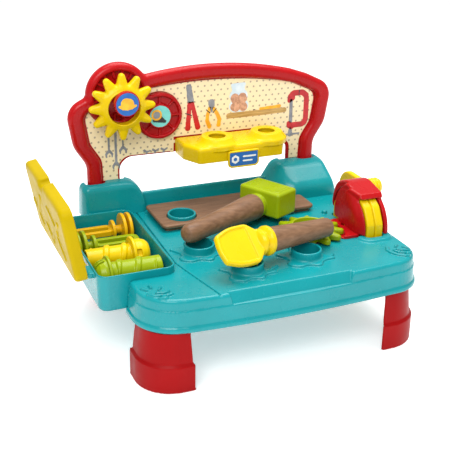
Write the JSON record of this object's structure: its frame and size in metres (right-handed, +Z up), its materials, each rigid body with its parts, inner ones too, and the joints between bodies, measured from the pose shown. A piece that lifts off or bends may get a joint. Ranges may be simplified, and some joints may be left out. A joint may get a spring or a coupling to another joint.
{
  "type": "toy workbench",
  "caption": "Toddler's toy workbench: legged table with a back board, lidded side bin, gears, saw wheel, plank, hammer, screwdriver and loose toy screws.",
  "frame": {"origin": "bottom centre of the whole box, on the floor under the middle", "axes": "+X to the viewer's right along the table, +Y from the front edge to the back board, +Z up; the side bin is at -X with its lid open"},
  "size_m": [0.4862, 0.323, 0.337],
  "materials": {
    "teal_plastic": "smooth moulded, teal",
    "red_plastic": "smooth moulded, red",
    "yellow_plastic": "smooth moulded, yellow",
    "green_plastic": "smooth moulded, lime green",
    "brown_plastic": "satin, wood-look brown",
    "axle_plastic": "satin",
    "steel": "plain",
    "printed_card": "printed label, cream with dots",
    "printed_label": "printed label",
    "blue_plastic": "smooth moulded, blue"
  },
  "bodies": {
    "bench": {"bench_top": "teal_plastic", "rear_rail": "teal_plastic", "tower_left": "teal_plastic", "tower_right": "teal_plastic", "tool_bin": "teal_plastic", "back_frame": "red_plastic", "gear_post": "red_plastic", "saw_base": "red_plastic", "saw_guard": "red_plastic", "leg_front_left": "red_plastic", "leg_back_left": "red_plastic", "leg_front_right": "red_plastic", "leg_back_right": "red_plastic", "tool_shelf": "yellow_plastic", "saw_housing": "yellow_plastic", "saw_grip": "yellow_plastic", "lid_hinge_rod": "steel", "tower_screws": "steel", "saw_screws": "steel", "bin_screws": "steel", "shelf_screws": "steel", "post_screw": "steel", "frame_screws": "steel", "board_print": "printed_card", "post_sticker": "printed_label", "disc_sticker": "printed_label", "badge_sticker": "printed_label", "shelf_badge": "blue_plastic"},
    "lid": {"bin_lid": "yellow_plastic"},
    "back_gear": {"gear_yellow": "yellow_plastic"},
    "table_gear": {"gear_green": "green_plastic"},
    "saw_wheel": {"saw_wheel_left": "yellow_plastic", "saw_wheel_right": "yellow_plastic", "saw_axle": "axle_plastic"},
    "plank": {"plank": "brown_plastic"},
    "hammer": {"hammer_head": "green_plastic", "hammer_handle": "brown_plastic"},
    "screwdriver": {"screwdriver_blade": "yellow_plastic", "screwdriver_handle": "brown_plastic"},
    "thin_screw_yellow": {"toy_screw_yellow": "yellow_plastic"},
    "thin_screw_green": {"toy_screw_green": "green_plastic"},
    "thick_bolt_yellow": {"toy_bolt_yellow": "yellow_plastic"},
    "thick_bolt_green": {"toy_bolt_green": "green_plastic"}
  },
  "joints": [
    {"name": "lid_hinge", "type": "hinge", "parent": "bench", "child": "lid", "pos_m": [-0.20489, 0.02101, 0.127], "axis": [0, 1, 0], "range_deg": [0, 100]},
    {"name": "back_gear_turn", "type": "hinge", "parent": "bench", "child": "back_gear", "pos_m": [-0.10489, 0.12101, 0.2808], "axis": [0, 1, 0], "continuous": true},
    {"name": "table_gear_turn", "type": "hinge", "parent": "bench", "child": "table_gear", "pos_m": [0.10951, -0.03079, 0.1284], "axis": [0, 0, 1], "continuous": true},
    {"name": "saw_wheel_turn", "type": "hinge", "parent": "bench", "child": "saw_wheel", "pos_m": [0.18811, -0.02399, 0.127], "axis": [1, 0, 0], "continuous": true},
    {"name": "plank_lift", "type": "slide", "parent": "bench", "child": "plank", "axis": [0, 0, 1], "range_m": [0, 0.008]},
    {"name": "hammer_lift", "type": "slide", "parent": "plank", "child": "hammer", "axis": [0, 0, 1], "range_m": [0, 0.014]},
    {"name": "screwdriver_lift", "type": "slide", "parent": "bench", "child": "screwdriver", "axis": [0, 0, 1], "range_m": [0, 0.1]},
    {"name": "thin_screw_yellow_lift", "type": "slide", "parent": "bench", "child": "thin_screw_yellow", "axis": [0, 0, 1], "range_m": [0, 0.005]},
    {"name": "thin_screw_green_lift", "type": "slide", "parent": "bench", "child": "thin_screw_green", "axis": [0, 0, 1], "range_m": [0, 0.005]},
    {"name": "thick_bolt_yellow_lift", "type": "slide", "parent": "bench", "child": "thick_bolt_yellow", "axis": [0, 0, 1], "range_m": [0, 0.004]},
    {"name": "thick_bolt_green_lift", "type": "slide", "parent": "bench", "child": "thick_bolt_green", "axis": [0, 0, 1], "range_m": [0, 0.004]}
  ]
}
